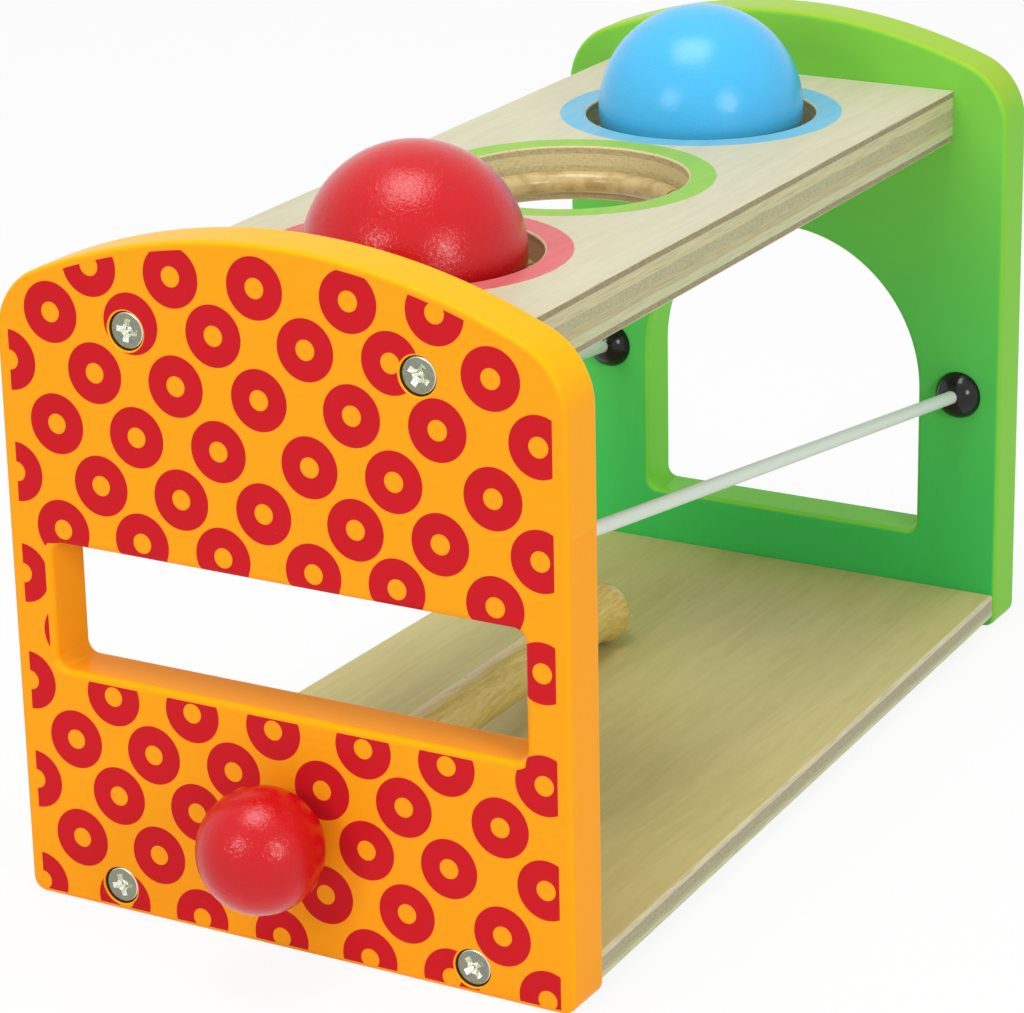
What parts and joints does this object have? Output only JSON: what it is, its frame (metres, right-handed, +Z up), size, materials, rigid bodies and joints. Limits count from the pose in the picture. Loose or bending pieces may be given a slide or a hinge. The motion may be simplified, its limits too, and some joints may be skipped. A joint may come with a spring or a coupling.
{
  "type": "peg pounding bench",
  "caption": "Ball pounding bench: painted end panels, a plywood top board with grip-ring holes and balls, slanting side rails, a plywood base and a mallet stored in the front panel.",
  "frame": {"origin": "bottom centre of the whole toy's box at rest, with the stored mallet", "axes": "+Z up; +Y from the front panel, where the mallet's head is, to the back panel; +X to the right as seen from the front"},
  "size_m": [0.125, 0.256, 0.1523],
  "materials": {
    "orange_lacquered_wood": "gloss lacquer with a printed ring pattern",
    "green_lacquered_wood": "gloss lacquer",
    "birch_plywood": "clear matt lacquer",
    "red_lacquer": "high gloss lacquer",
    "blue_lacquer": "high gloss lacquer",
    "turned_wood": "clear satin lacquer",
    "amber_rubber": "glossy, slightly clear",
    "white_rail": "white powder coat",
    "black_cap": "gloss",
    "zinc_screw": "bright zinc plate"
  },
  "bodies": {
    "bench": {"front_panel": "orange_lacquered_wood", "back_panel": "green_lacquered_wood", "top_board": "birch_plywood", "base_board": "birch_plywood", "front_grip": "amber_rubber", "middle_grip": "amber_rubber", "back_grip": "amber_rubber", "left_rail": "white_rail", "right_rail": "white_rail", "left_front_cap": "black_cap", "right_front_cap": "black_cap", "left_back_cap": "black_cap", "right_back_cap": "black_cap", "front_top_left_screw": "zinc_screw", "front_top_right_screw": "zinc_screw", "front_base_left_screw": "zinc_screw", "front_base_right_screw": "zinc_screw", "back_top_left_screw": "zinc_screw", "back_top_right_screw": "zinc_screw", "back_base_left_screw": "zinc_screw", "back_base_right_screw": "zinc_screw"},
    "red_ball": {"red_ball": "red_lacquer"},
    "blue_ball": {"blue_ball": "blue_lacquer"},
    "mallet": {"mallet_head": "red_lacquer", "mallet_handle": "turned_wood"}
  },
  "joints": [
    {"name": "red_ball_lift", "type": "slide", "parent": "bench", "child": "red_ball", "axis": [0, 0, 1], "range_m": [-0.0755, 0.06], "deforming": ["front_grip"]},
    {"name": "blue_ball_lift", "type": "slide", "parent": "bench", "child": "blue_ball", "axis": [0, 0, 1], "range_m": [-0.097, 0.06], "deforming": ["back_grip"]},
    {"name": "mallet_draw", "type": "slide", "parent": "bench", "child": "mallet", "axis": [0.0844, -0.9942, 0.0673], "range_m": [0, 0.2]}
  ]
}
